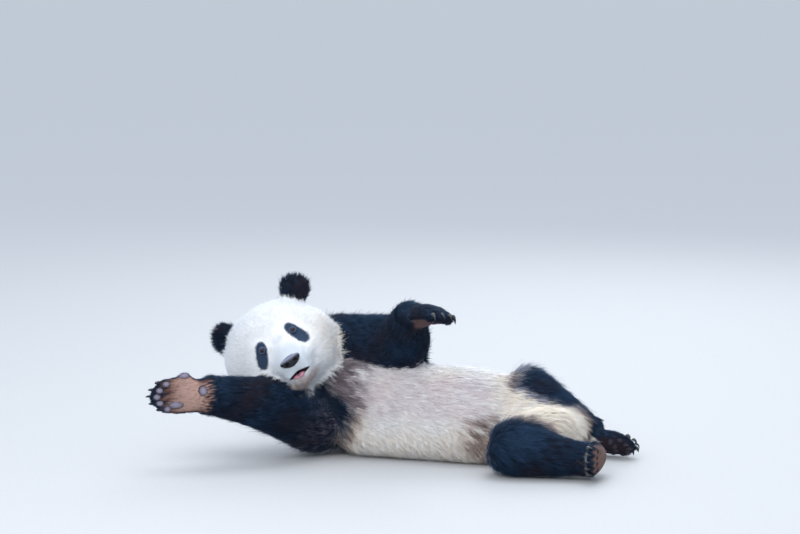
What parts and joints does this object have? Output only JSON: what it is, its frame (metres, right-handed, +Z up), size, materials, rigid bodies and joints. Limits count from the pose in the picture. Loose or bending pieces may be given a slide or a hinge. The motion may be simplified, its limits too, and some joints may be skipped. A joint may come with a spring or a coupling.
{
  "type": "giant panda",
  "caption": "Life-size still model of a giant panda lounging on its side and back, one arm stretched out and the other raised over its chest.",
  "frame": {"origin": "centre of the bounding box at the floor that the animal lies on", "axes": "+X from the head towards the feet, -Y the way the belly and the face turn, +Z up"},
  "size_m": [1.3702, 0.6702, 0.5085],
  "materials": {
    "white_coat": "dense white to cream fur, matt",
    "black_coat": "dense black fur, soft sheen",
    "nose_leather": "bare moist black skin, semi-gloss",
    "claw_horn": "smooth grey-brown horn, satin",
    "eye": "dark brown eye, wet gloss",
    "tongue": "moist pink skin, satin"
  },
  "bodies": {
    "root": {"belly": "white_coat", "chest": "black_coat", "claw_fore_left_1": "claw_horn", "claw_fore_left_2": "claw_horn", "claw_fore_left_3": "claw_horn", "claw_fore_left_4": "claw_horn", "claw_fore_left_5": "claw_horn", "claw_fore_right_1": "claw_horn", "claw_fore_right_2": "claw_horn", "claw_fore_right_3": "claw_horn", "claw_fore_right_4": "claw_horn", "claw_fore_right_5": "claw_horn", "claw_hind_left_1": "claw_horn", "claw_hind_left_2": "claw_horn", "claw_hind_left_3": "claw_horn", "claw_hind_left_4": "claw_horn", "claw_hind_left_5": "claw_horn", "claw_hind_right_1": "claw_horn", "claw_hind_right_2": "claw_horn", "claw_hind_right_3": "claw_horn", "claw_hind_right_4": "claw_horn", "claw_hind_right_5": "claw_horn", "ear_left": "black_coat", "ear_right": "black_coat", "eye_left": "eye", "eye_right": "eye", "forearm_left": "black_coat", "forearm_right": "black_coat", "forepaw_left": "black_coat", "forepaw_right": "black_coat", "head": "white_coat", "hindpaw_left": "black_coat", "hindpaw_right": "black_coat", "lower_jaw": "white_coat", "neck": "white_coat", "nose": "nose_leather", "rump": "white_coat", "shank_left": "black_coat", "shank_right": "black_coat", "tail": "white_coat", "thigh_left": "black_coat", "thigh_right": "black_coat", "tongue": "tongue", "upper_arm_left": "black_coat", "upper_arm_right": "black_coat"}
  },
  "joints": []
}
